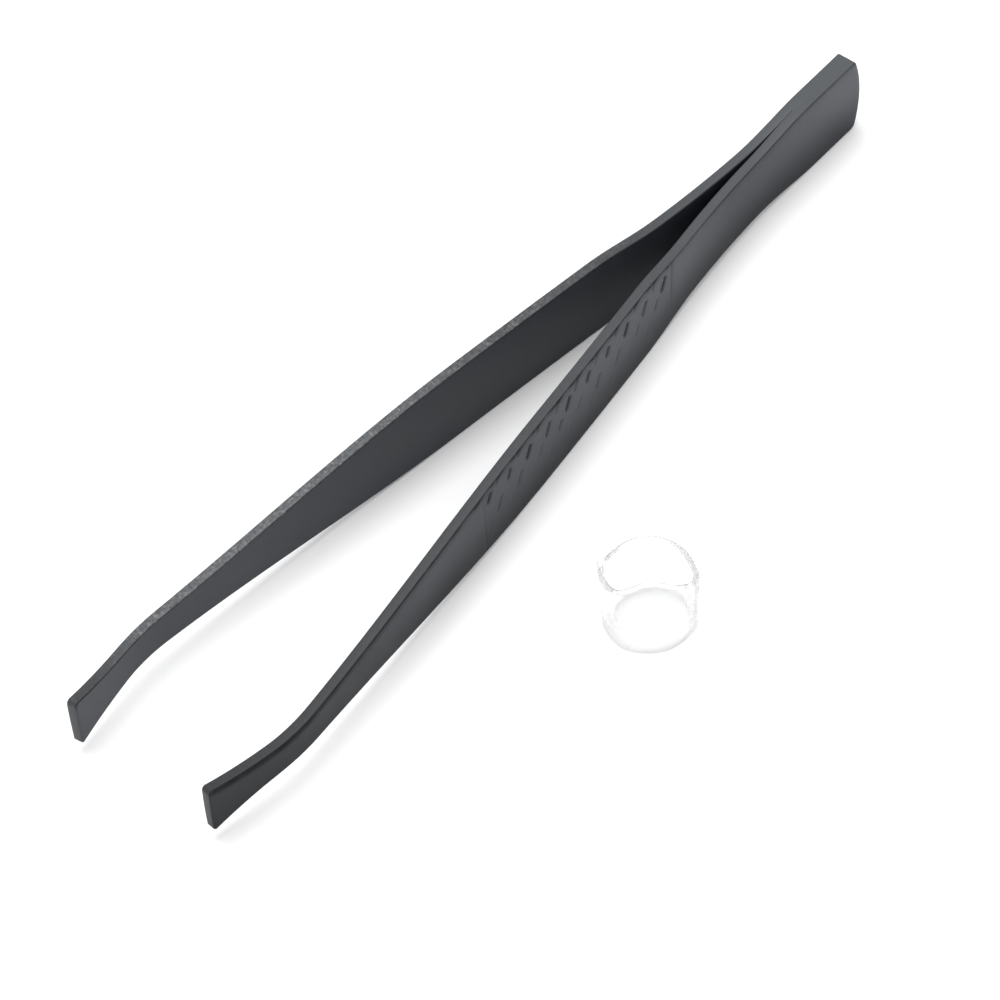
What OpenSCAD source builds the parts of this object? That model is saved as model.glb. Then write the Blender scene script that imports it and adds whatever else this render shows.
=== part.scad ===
// Bow-armed steel tweezers standing on edge, with the clear retaining ring beside them.
// X runs from the butt to the tips, Z is up from the table, and the two strips mirror each other about Y = 0.
// The origin is on the table, on the mirror plane, under the flat foot of the butt.

/* [Strip seen from above] */
// Thickness of the steel strip
strip_t = 1; // [0.7:0.05:1.3]
// Length of the straight butt, where the two strips lie together
butt_len = 10; // [8:0.5:14]
// Length of the bend that opens each arm
root_len = 17.5; // [14:0.5:26]
// Angle of the bend that opens each arm, in degrees
root_angle = 8; // [6:0.1:11]
// Length of the long bowed stretch
bow_len = 61; // [45:0.5:80]
// Angle that the bow turns back over its length, in degrees
bow_angle = 2.4; // [0:0.1:5]
// Length of the bend behind the tip
tip_bend_len = 5.5; // [4:0.5:9]
// Angle that the tip turns in by, in degrees
tip_bend_angle = 13.2; // [8:0.1:18]
// Length of the straight gripping tip
tip_len = 7.5; // [5:0.5:12]

/* [Strip seen from the side] */
// Height of the strip at the butt
tail_w = 8.5; // [7:0.1:11]
// Distance from the butt's end to the front of its flat foot
tail_to = 7; // [5.5:0.5:8]
// Distance from the butt's end to the origin, which is on the foot
foot_at = 4.5; // [3.5:0.1:5.5]
// Radius of the butt's bulging end
tail_end_r = 12; // [9:0.5:20]
// Height of the bulge's furthest point above the strip's mid-height
tail_end_up = 0.75; // [0:0.05:1.5]
// Radius of the butt's two corners
tail_corner_r = 0.5; // [0.4:0.1:1.5]
// Height of the strip at its waist
waist_w = 7.2; // [5.5:0.1:8.5]
// Distance from the butt's end to the back of the waist
waist_from = 16; // [13:0.5:19]
// Length of the waist
waist_len = 11; // [6:0.5:14]
// Height of the strip at the grip
grip_w = 8.5; // [7:0.1:11]
// Distance from the butt's end to the back of the grip's flat edge
grip_from = 35; // [31:0.5:39]
// Length of the grip's flat edge
grip_len = 17; // [10:0.5:22]
// Height of the strip at the neck behind the tip
neck_w = 3.6; // [2.6:0.1:5]
// Distance from the tip's end back to the neck
neck_back = 9; // [6:0.5:14]
// Radius of the two arcs that flare the tip
flare_r = 38; // [25:1:80]
// Radius of the tip's two corners
tip_corner_r = 0.5; // [0.2:0.1:1]

/* [Grip pattern] */
// Distance from the butt's end to the first dash of the top row
dash_from = 31.6; // [30:0.1:36]
// Number of stamped dashes in the top row
dash_count = 10; // [4:1:14]
// Distance between the dashes of a row
dash_pitch = 3.3; // [2.4:0.1:4]
// Rows of stamped dashes
dash_rows = 4; // [2:1:4]
// Distance between the rows
dash_row_pitch = 1.75; // [1.5:0.05:2.2]
// Length of a dash
dash_len = 2; // [1:0.1:2.2]
// Width of a dash
dash_w = 0.5; // [0.3:0.05:0.8]
// Depth of a dash
dash_depth = 0.12; // [0.05:0.01:0.3]
// Slope of a dash, in degrees
dash_slope = 48; // [20:1:60]

/* [Butt weld] */
// Length of open slit between the weld's front and the bend
slit_len = 1; // [0.5:0.1:2]
// Width of the seam weld, across both strips
weld_w = 0.6; // [0.4:0.1:1]
// Depth of the seam weld into the strips' edges
weld_depth = 0.4; // [0.2:0.05:0.6]

/* [Flexure] */
// Distance from the weld's front to the line that an arm flexes about
flex_lead = 14; // [10:0.5:18]
// Shoulder on each side of the arm's rounded root
flex_shoulder = 0.05; // [0.03:0.01:0.1]
// Running clearance round the arm's rounded root
flex_clear = 0.05; // [0.03:0.01:0.1]
// Distance from the flex line back to the butt plate's front edge
flex_back = 0.4; // [0.3:0.05:0.5]

/* [Retaining ring] */
// Wall of the clear ring
ring_wall = 0.6; // [0.4:0.05:1]
// Height of the ring
ring_h = 7; // [4:0.5:10]
// Spare length round the butt's outline when the ring is pushed over it
ring_slack = 3.5; // [1:0.1:6]
// Distance from the butt's end to the ring's centre, along the tweezers
ring_at = 58.9; // [20:0.1:80]
// Clear distance between the left arm and the ring
ring_away = 12.5; // [4:0.1:30]

/* [Hidden] */

STEEL = "dimgray";
CLEAR = "gainsboro";
// Finest turn between two facets of a bend, in degrees, and the spacing of points along a shaped edge
BEND_STEP = 1;
EDGE_STEP = 1;
ARC_STEPS = 8;
ROUND_FN = 96;
// Overlap that makes a cutter pass right through
OVER = 1;
// Thickness of a side outline that is to cut both strips
ACROSS = 100;

// The strip's centre line from above, as legs of [length, turn in degrees]
legs = [
    [butt_len, 0], [root_len, root_angle], [bow_len, -bow_angle], [tip_bend_len, -tip_bend_angle], [tip_len, 0]
];
strip_len = butt_len + root_len + bow_len + tip_bend_len + tip_len;
mid_z = max(tail_w, grip_w) / 2;
root_r = strip_t / 2 - flex_shoulder;
weld_len = butt_len - slit_len;
flex_s = weld_len + flex_lead;

// A pose is [x, y, heading]. After a distance u along a leg, a turning leg has gone round an arc.
function after(pose, leg, u) =
    let (turn = leg[1] * u / leg[0], h = pose[2] + turn, r = turn == 0 ? 0 : u * 180 / (PI * turn))
    turn == 0
        ? [pose[0] + u * cos(h), pose[1] + u * sin(h), h]
        : [pose[0] + r * (sin(h) - sin(pose[2])), pose[1] - r * (cos(h) - cos(pose[2])), h];
function leg_start(n) = n == 0 ? [0, strip_t / 2, 0] : after(leg_start(n - 1), legs[n - 1], legs[n - 1][0]);
function leg_from(n) = n == 0 ? 0 : leg_from(n - 1) + legs[n - 1][0];
function pose_at(s, n = 0) =
    n == len(legs) - 1 || s <= leg_from(n + 1)
        ? after(leg_start(n), legs[n], s - leg_from(n))
        : pose_at(s, n + 1);
// Point at a distance off the centre line, positive away from the other strip
function beside(pose, off) = [pose[0] - off * sin(pose[2]), pose[1] + off * cos(pose[2])];
// Distances along the strip at which its plan outline has a point: every facet of every bend between two ends
function marks(from, to) = concat(
    [from],
    [for (n = [0 : len(legs) - 1])
        let (parts = max(1, ceil(abs(legs[n][1]) / BEND_STEP)))
        for (k = [0 : parts - 1])
            let (s = leg_from(n) + legs[n][0] * k / parts)
            if (s > from && s < to) s],
    [to]
);

tip_x = pose_at(strip_len)[0];
neck_x = tip_x - neck_back;
flex_pose = pose_at(flex_s);
flex_at = [flex_pose[0], flex_pose[1]];

// Half the strip's height at a distance x from the butt's end
function eased(u) = u * u * (3 - 2 * u);
function between(x, x0, x1, a, b) = a + (b - a) * eased((x - x0) / (x1 - x0));
function arc_rise(u, r) = r - sqrt(r * r - u * u);
waist_to = waist_from + waist_len;
grip_to = grip_from + grip_len;
function half_w(x) =
    x <= tail_to ? tail_w / 2
    : x <= waist_from ? between(x, tail_to, waist_from, tail_w, waist_w) / 2
    : x <= waist_to ? waist_w / 2
    : x <= grip_from ? between(x, waist_to, grip_from, waist_w, grip_w) / 2
    : x <= grip_to ? grip_w / 2
    : x <= neck_x ? between(x, grip_to, neck_x, grip_w, neck_w) / 2
    : neck_w / 2 + arc_rise(x - neck_x, flare_r);

function arc(centre, r, a0, a1) =
    [for (k = [0 : ARC_STEPS]) let (a = a0 + (a1 - a0) * k / ARC_STEPS) centre + r * [cos(a), sin(a)]];

// Upper half of the side outline, from the butt's furthest point to the middle of the tip's end. The lower half is
// the same upside down, with the bulge below its mid-height. An inset draws the butt's end and edges that far inside.
tip_corner_x = tip_x - tip_corner_r;
tip_edge_slope = asin((tip_corner_x - neck_x) / flare_r);
function tail_half(inset, up) =
    let (
        r = tail_corner_r - inset / 2,
        big = tail_end_r - inset,
        c_y = tail_w / 2 - inset - r - up,
        c_x = tail_end_r - sqrt(pow(big - r, 2) - c_y * c_y),
        meet = asin(c_y / (big - r))
    )
    concat(arc([tail_end_r, up], big, 180, 180 - meet), arc([c_x, up + c_y], r, 180 - meet, 90));
function edge_half(inset) = [
    for (x = [ceil(tail_to) : EDGE_STEP : floor(tip_corner_x)]) [x, half_w(x) - inset]
];
function tip_half() =
    let (c_y = half_w(tip_corner_x) - tip_corner_r / cos(tip_edge_slope))
    arc([tip_corner_x, c_y], tip_corner_r, 90 + tip_edge_slope, 0);
// The butt's end, then these points forwards above mid-height, and all of it back below mid-height
function both_halves(inset, rest) =
    let (upper = concat(tail_half(inset, tail_end_up), rest), lower = concat(tail_half(inset, -tail_end_up), rest))
    concat(upper, [for (k = [len(lower) - 1 : -1 : 1]) [lower[k][0], -lower[k][1]]]);

// Side outline, with its mid-height on the X axis
module side_outline() {
    polygon(both_halves(0, concat(edge_half(0), tip_half())));
}

// Stands a side outline up on the table, centred on the mirror plane, this thick across it
module stood_up(thick) {
    translate([0, thick / 2, mid_z]) rotate([90, 0, 0]) linear_extrude(thick) children();
}

// Plan outline of the left strip between two distances along it
module plan_outline(from, to) {
    s = marks(from, to);
    polygon(concat(
        [for (k = [0 : len(s) - 1]) beside(pose_at(s[k]), strip_t / 2)],
        [for (k = [len(s) - 1 : -1 : 0]) beside(pose_at(s[k]), -strip_t / 2)]
    ));
}

// Everything below is drawn with X = 0 at the butt's end. This moves it to the origin on the foot.
module in_frame() {
    translate([-foot_at, 0, 0]) children();
}

module weld_solid() {
    difference() {
        stood_up(weld_w) intersection() {
            side_outline();
            translate([0, -mid_z]) square([weld_len, 2 * mid_z]);
        }
        stood_up(weld_w + 2 * OVER)
            polygon(both_halves(weld_depth, [for (x = [tail_to, weld_len + OVER]) [x, half_w(x) - weld_depth]]));
    }
}

module butt_plate() {
    difference() {
        intersection() {
            linear_extrude(2 * mid_z) plan_outline(0, flex_s - flex_back);
            stood_up(ACROSS) side_outline();
        }
        weld_solid();
        translate([flex_at[0], flex_at[1], -OVER])
            cylinder(h = 2 * (mid_z + OVER), r = root_r + flex_clear, $fn = ROUND_FN);
    }
}

// One stamped dash on the outer face: a slot with round ends
module dash() {
    rotate([-90, 0, 0]) rotate([0, 0, dash_slope]) linear_extrude(2 * dash_depth, center = true) {
        square([dash_len - dash_w, dash_w], center = true);
        for (side = [-1, 1])
            translate([side * (dash_len - dash_w) / 2, 0]) circle(d = dash_w, $fn = 32);
    }
}

module dashes() {
    for (row = [0 : dash_rows - 1]) {
        stagger = row % 2;
        for (k = [0 : dash_count - 1 - stagger]) {
            pose = pose_at(dash_from + dash_pitch * (k + stagger / 2));
            spot = beside(pose, strip_t / 2);
            translate([spot[0], spot[1], mid_z + dash_row_pitch * ((dash_rows - 1) / 2 - row)])
                rotate([0, 0, pose[2]]) dash();
        }
    }
}

module arm() {
    difference() {
        intersection() {
            union() {
                linear_extrude(2 * mid_z) plan_outline(flex_s, strip_len);
                translate([flex_at[0], flex_at[1], 0]) cylinder(h = 2 * mid_z, r = root_r, $fn = ROUND_FN);
            }
            stood_up(ACROSS) side_outline();
        }
        dashes();
    }
}

module left_butt_plate() {
    color(STEEL) in_frame() butt_plate();
}

module right_butt_plate() {
    color(STEEL) in_frame() mirror([0, 1, 0]) butt_plate();
}

// Seam weld let into the edges round the butt, half of it in each strip
module butt_weld() {
    color(STEEL) in_frame() weld_solid();
}

module left_arm() {
    color(STEEL) in_frame() arm();
}

module right_arm() {
    color(STEEL) in_frame() mirror([0, 1, 0]) arm();
}

// The ring's bore is as long round as the closed butt's outline and its slack
ring_bore_r = (2 * (tail_w + 2 * strip_t) + ring_slack) / (2 * PI);
ring_r = ring_bore_r + ring_wall;
ring_y = beside(pose_at(ring_at), strip_t / 2)[1] + ring_away + ring_r;

module retaining_ring() {
    color(CLEAR) in_frame() translate([ring_at, ring_y, 0]) difference() {
        cylinder(h = ring_h, r = ring_r, $fn = ROUND_FN);
        translate([0, 0, -OVER]) cylinder(h = ring_h + 2 * OVER, r = ring_bore_r, $fn = ROUND_FN);
    }
}

left_butt_plate();
right_butt_plate();
butt_weld();
left_arm();
right_arm();
retaining_ring();
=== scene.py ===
"""Matte black bow-armed steel tweezers standing on edge, with their clear retaining ring beside them.

Sizes are in millimetres and degrees, in the part's own frame: X runs from the butt to the tips, Z is up from the
table and the two strips mirror each other about Y = 0. A distance along a strip, s, is measured on its centre line
from the butt's end, a height v from its mid-height, and an offset n square to the strip, positive outwards.
"""

import logging
import math
from dataclasses import dataclass, field
from enum import Enum

import bmesh
import bpy
import numpy as np
from mathutils import Matrix, Vector


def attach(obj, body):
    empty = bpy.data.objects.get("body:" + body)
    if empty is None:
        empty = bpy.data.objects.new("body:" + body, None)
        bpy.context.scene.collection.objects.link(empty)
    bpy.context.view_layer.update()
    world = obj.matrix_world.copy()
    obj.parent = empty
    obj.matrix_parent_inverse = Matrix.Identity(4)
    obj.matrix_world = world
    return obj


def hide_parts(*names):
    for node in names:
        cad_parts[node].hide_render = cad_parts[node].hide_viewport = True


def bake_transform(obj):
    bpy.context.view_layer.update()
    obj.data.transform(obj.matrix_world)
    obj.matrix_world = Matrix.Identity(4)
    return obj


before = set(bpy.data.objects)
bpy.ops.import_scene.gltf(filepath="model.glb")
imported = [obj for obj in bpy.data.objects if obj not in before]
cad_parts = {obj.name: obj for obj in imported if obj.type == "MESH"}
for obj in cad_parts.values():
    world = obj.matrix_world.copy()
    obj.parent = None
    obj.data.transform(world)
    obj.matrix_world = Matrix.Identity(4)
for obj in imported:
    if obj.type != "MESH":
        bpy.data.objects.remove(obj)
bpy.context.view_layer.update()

LOG = logging.getLogger("tweezers")
MM = 0.001
MERGE_MM = 0.0001
# Points on a corner's arc and on the flat arc between two corners, before the curve is walked in equal steps.
CORNER_STEPS, FLAT_STEPS = 24, 120
# Painted stamp tone, with shade below it and highlight above it: that of a face that isn't stamped, and that of the
# deepest groove.
PLAIN_TONE, DEEPEST_TONE = 0.5, 0.05
BLACK = (0.0, 0.0, 0.0)
Socket = bpy.types.NodeSocket


class Side(Enum):
    """Which of the two mirrored strips a piece is, as the sign of its Y."""

    LEFT = 1
    RIGHT = -1


class Slot(Enum):
    """The record's material slots."""

    STEEL = "coated_steel"
    WELD = "coated_weld"
    VINYL = "clear_vinyl"


class Mask(Enum):
    """Point attributes that the finishes read."""

    EDGE = "sheared_edge"
    # Painted shade in the crease under the burr and along the inner face's top edge.
    CREASE = "burr_crease_painted_shade"
    # Painted shade in the stamped grooves and border lines, and painted highlight on the lips.
    STAMP = "stamp_painted_shading"
    # Painted light and shade over the coat.
    COAT = "painted_coat_shading"
    # Bare grain of the sheared edge, with its painted glints.
    BARE = "bare_grain_and_glints"
    CUT = "cut_face"


# ---------------------------------------------------------------------------------------------- shape functions


def eased(u: np.ndarray) -> np.ndarray:
    """Smooth step from 0 to 1: three u squared less two u cubed, with u held between 0 and 1."""
    held = np.clip(u, 0.0, 1.0)
    return held * held * (3.0 - 2.0 * held)


def ramp(x: np.ndarray, start: float, end: float) -> np.ndarray:
    """Smooth step from 0 at start to 1 at end."""
    return eased((x - start) / (end - start))


def bell(u: np.ndarray) -> np.ndarray:
    """Bell that is 1 at u = 0: e to the power of minus u squared."""
    return np.exp(-(u * u))


def window(u: np.ndarray, half: float, soft: float) -> np.ndarray:
    """Plateau of 1 for u within half of 0, falling by a smooth step to 0 over a distance soft past it."""
    return 1.0 - eased((np.abs(u) - half) / soft)


def waves(s: np.ndarray, lengths: tuple[float, ...], phase: float) -> np.ndarray:
    """Slow unevenness between -1 and 1: the mean of sines of those wavelengths, each set off by the phase."""
    total = sum(np.sin(2.0 * math.pi * s / w + phase * (k + 1)) for k, w in enumerate(lengths))
    return total / len(lengths)


def make_mesh(name: str, points: np.ndarray, quads: np.ndarray, merge: bool = False) -> bpy.types.Object:
    """Makes a smooth-shaded closed mesh object at the origin, turning its faces outwards if they point in.

    Args:
        name: Name of the object.
        points: Vertex places in millimetres, one row each.
        quads: Vertex numbers of each four-sided face, one row each.
        merge: Whether points in one place are made one, which closes a pole.

    Returns:
        The new object, linked to the scene.
    """
    a, b, c, d = (points[quads[:, k]] for k in range(4))
    volume = np.einsum("ij,ij->", a, np.cross(b, c)) + np.einsum("ij,ij->", a, np.cross(c, d))
    if volume < 0:
        quads = quads[:, ::-1]
    mesh = bpy.data.meshes.new(name)
    mesh.vertices.add(len(points))
    mesh.vertices.foreach_set("co", (points * MM).astype(np.float32).ravel())
    mesh.loops.add(quads.size)
    mesh.loops.foreach_set("vertex_index", np.ascontiguousarray(quads, dtype=np.int32).ravel())
    mesh.polygons.add(len(quads))
    mesh.polygons.foreach_set("loop_start", np.arange(0, quads.size, 4, dtype=np.int32))
    mesh.update(calc_edges=True)
    if merge:
        joined = bmesh.new()
        joined.from_mesh(mesh)
        bmesh.ops.remove_doubles(joined, verts=joined.verts, dist=MERGE_MM * MM)
        joined.to_mesh(mesh)
        joined.free()
    mesh.polygons.foreach_set("use_smooth", np.ones(len(mesh.polygons), dtype=bool))
    made = bpy.data.objects.new(name, mesh)
    bpy.context.scene.collection.objects.link(made)
    return made


def paint(piece: bpy.types.Object, mask: Mask, values: np.ndarray) -> None:
    """Stores a number between 0 and 1 at every vertex, under the mask's name."""
    layer = piece.data.attributes.new(mask.value, "FLOAT", "POINT")
    layer.data.foreach_set("value", values.astype(np.float32).ravel())


def band_quads(first: np.ndarray, second: np.ndarray) -> np.ndarray:
    """Four-sided faces between two closed rows of vertex numbers of the same length."""
    return np.stack([first, np.roll(first, -1), np.roll(second, -1), second], axis=1)


def wrapped_quads(long: int, around: int, ring: bool) -> np.ndarray:
    """Faces of a section of so many points carried along a path of so many, whose last meets its first in a ring.

    Args:
        long: Number of points on the path.
        around: Number of points on the section.
        ring: Whether the path's last point meets its first.

    Returns:
        Vertex numbers of each face, one row each.
    """
    grid = np.arange(long * around).reshape(long, around)
    ahead = np.roll(grid, -1, axis=0)
    if not ring:
        grid, ahead = grid[:-1], ahead[:-1]
    turned, ahead_turned = np.roll(grid, -1, axis=1), np.roll(ahead, -1, axis=1)
    return np.stack([grid, turned, ahead_turned, ahead], axis=-1).reshape(-1, 4)


# ---------------------------------------------------------------------------------------------- steel strips


@dataclass(frozen=True)
class CentreLine:
    """Plan of a strip's middle surface: legs of a length and a turn, gone along from the butt's end."""

    legs: tuple[tuple[float, float], ...] = ((10.0, 0.0), (17.5, 8.0), (61.0, -2.4), (5.5, -13.2), (7.5, 0.0))
    start_y: float = 0.5
    foot_at: float = 4.5

    @property
    def length(self) -> float:
        """Length of all the legs."""
        return sum(leg for leg, _ in self.legs)

    def pose(self, s: np.ndarray) -> tuple[np.ndarray, np.ndarray, np.ndarray]:
        """Place and heading on the centre line.

        Each leg is an arc. After a distance u along it, it has turned by its share of its turn, and its chord is
        u times the sine of half that turn over half that turn, headed half the turn off the leg's start.

        Args:
            s: Distances from the butt's end.

        Returns:
            X from the butt's end, Y and the heading in radians.
        """
        x, y, heading = np.zeros_like(s), np.full_like(s, self.start_y), np.zeros_like(s)
        begun, faced = 0.0, 0.0
        for leg, turn_deg in self.legs:
            along = np.clip(s - begun, 0.0, leg)
            turn = math.radians(turn_deg) * along / leg
            chord = along * np.sinc(turn / (2.0 * math.pi))
            x, y = x + chord * np.cos(faced + turn / 2.0), y + chord * np.sin(faced + turn / 2.0)
            heading = heading + turn
            begun, faced = begun + leg, faced + math.radians(turn_deg)
        return x, y, heading


@dataclass(frozen=True)
class SideOutline:
    """Heights of a strip seen from the side, and the rounding of its four corners."""

    tail_w: float = 8.5
    tail_to: float = 7.0
    end_bulge_r: float = 12.0
    end_up: float = 0.75
    end_top_r: float = 0.28
    end_low_r: float = 0.75
    waist_w: float = 7.2
    waist_from: float = 16.0
    waist_to: float = 27.0
    grip_w: float = 8.5
    grip_from: float = 35.0
    grip_to: float = 52.0
    neck_w: float = 3.6
    neck_at: float = 91.93
    flare_r: float = 38.0
    tip_bulge_r: float = 90.0
    tip_top_r: float = 0.5
    tip_low_r: float = 0.32
    shrink: float = 0.02

    def half(self, x: np.ndarray) -> np.ndarray:
        """Half the strip's height at x from the butt's end: level stretches joined by smooth steps, then an arc.

        Args:
            x: Places from the butt's end.

        Returns:
            Half the height at each.
        """
        past = np.clip(x - self.neck_at, 0.0, None)
        flare = self.flare_r - np.sqrt(self.flare_r**2 - past**2)
        height = (
            self.tail_w
            + (self.waist_w - self.tail_w) * ramp(x, self.tail_to, self.waist_from)
            + (self.grip_w - self.waist_w) * ramp(x, self.waist_to, self.grip_from)
            + (self.neck_w - self.grip_w) * ramp(x, self.grip_to, self.neck_at)
        )
        return height / 2.0 + flare - self.shrink

    @staticmethod
    def end_curve(
        half: float, bulge_r: float, up: float, low_r: float, top_r: float, count: int
    ) -> tuple[np.ndarray, np.ndarray]:
        """Curve of a strip's end from its low corner to its top one.

        A flat arc of the bulge's radius meets an arc at each corner without a kink. The point where a corner's arc
        begins is at the angle whose sine is the corner centre's height over the difference of the two radii, with
        heights taken from the bulge's furthest point. The curve is walked in equal steps of its own length.

        Args:
            half: Half the strip's height at the end.
            bulge_r: Radius of the bulging end.
            up: Height of the bulge's furthest point.
            low_r: Radius of the low corner.
            top_r: Radius of the top corner.
            count: Number of points.

        Returns:
            Distance in from the end's furthest point, and height, of each point.
        """
        low_turn = math.asin((half + up - low_r) / (bulge_r - low_r))
        top_turn = math.asin((half - up - top_r) / (bulge_r - top_r))
        low_in = bulge_r - (bulge_r - low_r) * math.cos(low_turn)
        top_in = bulge_r - (bulge_r - top_r) * math.cos(top_turn)
        low_arc = np.linspace(math.pi / 2.0, low_turn, CORNER_STEPS)
        flat_arc = np.linspace(-low_turn, top_turn, FLAT_STEPS)
        top_arc = np.linspace(top_turn, math.pi / 2.0, CORNER_STEPS)
        inward = np.concatenate(
            [low_in - low_r * np.cos(low_arc), bulge_r - bulge_r * np.cos(flat_arc), top_in - top_r * np.cos(top_arc)]
        )
        height = np.concatenate(
            [
                low_r - half - low_r * np.sin(low_arc),
                up + bulge_r * np.sin(flat_arc),
                half - top_r + top_r * np.sin(top_arc),
            ]
        )
        walked = np.concatenate([[0.0], np.cumsum(np.hypot(np.diff(inward), np.diff(height)))])
        steps = np.linspace(0.0, walked[-1], count)
        return np.interp(steps, walked, inward), np.interp(steps, walked, height)

    def butt_end(self, count: int) -> tuple[np.ndarray, np.ndarray]:
        """The end curve of the butt, drawn in by the shrink.

        Args:
            count: Number of points.

        Returns:
            Distance in from the end's furthest point, and height, of each point.
        """
        half = float(self.half(np.array([0.0]))[0])
        inward, height = self.end_curve(half, self.end_bulge_r, self.end_up, self.end_low_r, self.end_top_r, count)
        return inward + self.shrink, height


@dataclass(frozen=True)
class GripStamp:
    """The rows of slanting dashes stamped into the outer face, and the lines that border them."""

    first_at: float = 31.6
    count: int = 10
    pitch: float = 3.3
    row_heights: tuple[float, ...] = (3.75, 2.42, 0.7, -0.98)
    row_depths: tuple[float, ...] = (0.06, 0.135, 0.05, 0.012)
    slope: float = 58.0
    half_length: float = 0.5
    end_soft: float = 0.42
    groove_half_w: float = 0.29
    uneven: float = 0.25
    place_waves: tuple[float, float] = (5.1, 2.3)
    depth_waves: tuple[float, float] = (3.7, 1.1)
    lip_off: float = 0.3
    lip_half_w: float = 0.13
    lip_share: float = 0.42
    back_line_at: float = 30.3
    back_line_mid: float = 2.0
    back_line_over: tuple[float, float] = (-2.0, 1.0)
    front_line_at: float = 62.3
    line_half_w: float = 0.2
    line_lean: float = 0.14
    back_line_depth: float = 0.06
    front_line_depth: float = 0.025
    # Painted highlight on the lips, and painted shade in the grooves and border lines.
    lip_highlight: float = 5.0
    groove_shade: float = 4.2
    line_shade: float = 3.0

    def groove_and_lip(self, s: np.ndarray, v: np.ndarray) -> tuple[np.ndarray, np.ndarray]:
        """How deep the grooves are and how high the lips beside them, at each place on the outer face.

        A dash runs forwards and down. Across it, the groove is a bell, and the metal pushed out of it stands up as a
        narrower bell on its upper side. Along it, both end in a smooth step. A row is set off by half a pitch from
        the one above it, and sines of a dash's number make its place, length and depth a little uneven. The top row
        runs into the crease.

        Args:
            s: Distances along the strip from the butt's end.
            v: Heights from the strip's mid-height.

        Returns:
            Depth of the grooves and height of the lips at each place.
        """
        groove, lip = np.zeros_like(s), np.zeros_like(s)
        along_s, along_v = math.cos(math.radians(self.slope)), -math.sin(math.radians(self.slope))
        for row, (height, depth) in enumerate(zip(self.row_heights, self.row_depths)):
            stagger = (row + 1) % 2
            places = (s - self.first_at) / self.pitch - stagger / 2.0
            nearest = np.clip(np.round(places), 0, self.count - 1 - stagger)
            ds, dv = (places - nearest) * self.pitch, v - height
            along, across = ds * along_s + dv * along_v, -ds * along_v + dv * along_s
            vary = np.sin(self.place_waves[0] * nearest + self.place_waves[1] * row)
            length = window(along - self.uneven * vary, self.half_length * (1.0 + self.uneven * vary), self.end_soft)
            length = length * (1.0 + self.uneven * np.sin(self.depth_waves[0] * nearest + self.depth_waves[1] * row))
            groove = groove + depth * bell(across / self.groove_half_w) * length
            lip = lip + depth * self.lip_share * bell((across - self.lip_off) / self.lip_half_w) * length
        return groove, lip

    def border(self, s: np.ndarray, v: np.ndarray) -> np.ndarray:
        """Depth of the two border lines. The back one leans forwards as it goes down, and fades below mid-height.

        Args:
            s: Distances along the strip from the butt's end.
            v: Heights from the strip's mid-height.

        Returns:
            Depth of the border lines at each place.
        """
        leaning = self.back_line_at - self.line_lean * (v - self.back_line_mid)
        back = self.back_line_depth * bell((s - leaning) / self.line_half_w) * ramp(v, *self.back_line_over)
        front = self.front_line_depth * bell((s - self.front_line_at) / self.line_half_w)
        return back + front

    def tone(self, groove: np.ndarray, lip: np.ndarray, border: np.ndarray) -> np.ndarray:
        """Painted tone of the stamping: a painted highlight over the plain tone on a lip, and painted shade under it in
        a groove or a border line.
        """
        tone = PLAIN_TONE + self.lip_highlight * lip - self.groove_shade * groove - self.line_shade * border
        return np.clip(tone, 0.0, 1.0)


@dataclass(frozen=True)
class EdgeBurr:
    """The lip that shearing leaves along the top edge of the outer face, and the crease under it, with painted shade in
    the crease.
    """

    full_over: tuple[float, float] = (29.5, 31.0)
    faint_share: float = 0.42
    uneven: float = 0.22
    wave_lengths: tuple[float, ...] = (3.3, 1.9, 7.1)
    depth: float = 0.1
    lip_w: float = 0.05
    step_w: float = 0.06
    fade_w: float = 0.9
    crease_w: float = 0.34
    narrowest: float = 0.45
    palest: float = 0.55
    scallop: float = 0.28
    scallop_pitch: float = 3.3
    scallop_phase: float = 1.0
    scallop_in: tuple[float, float] = (29.5, 31.5)
    scallop_out: tuple[float, float] = (64.0, 68.0)
    soft_w: float = 0.2
    tip_soft_w: float = 0.7
    tip_over: tuple[float, float] = (82.0, 92.0)

    def strength(self, s: np.ndarray, phase: float) -> np.ndarray:
        """Share of the full burr: faint along the butt and the waist and full from the grip on, a little uneven."""
        full = (1.0 - self.faint_share) * ramp(s, *self.full_over)
        return (self.faint_share + full) * (1.0 + self.uneven * waves(s, self.wave_lengths, phase))

    def recess(self, below: np.ndarray, share: np.ndarray) -> np.ndarray:
        """Depth of the face at a distance below the top edge: a step under the lip that comes back over fade_w."""
        under = below - self.lip_w
        return self.depth * share * eased(under / self.step_w) * (1.0 - eased(under / self.fade_w))

    def crease(self, s: np.ndarray, below: np.ndarray, share: np.ndarray) -> np.ndarray:
        """Painted shade of the crease: full from the edge to a crease's width below it, then gone over a soft width.

        Over the grip the width swells and narrows with the pitch of the dashes, and near the tip the soft width grows.

        Args:
            s: Distances along the strip from the butt's end.
            below: Distances below the top edge.
            share: Share of the full burr at each place.

        Returns:
            Strength of the painted shade, from 0 to 1.
        """
        grip = ramp(s, *self.scallop_in) * (1.0 - ramp(s, *self.scallop_out))
        swell = np.sin(2.0 * math.pi * s / self.scallop_pitch + self.scallop_phase)
        wide = self.crease_w * (self.narrowest + (1.0 - self.narrowest) * share) * (1.0 + self.scallop * grip * swell)
        soft = self.soft_w + (self.tip_soft_w - self.soft_w) * ramp(s, *self.tip_over)
        return (self.palest + (1.0 - self.palest) * share) * (1.0 - eased((below - wide) / soft))


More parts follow.
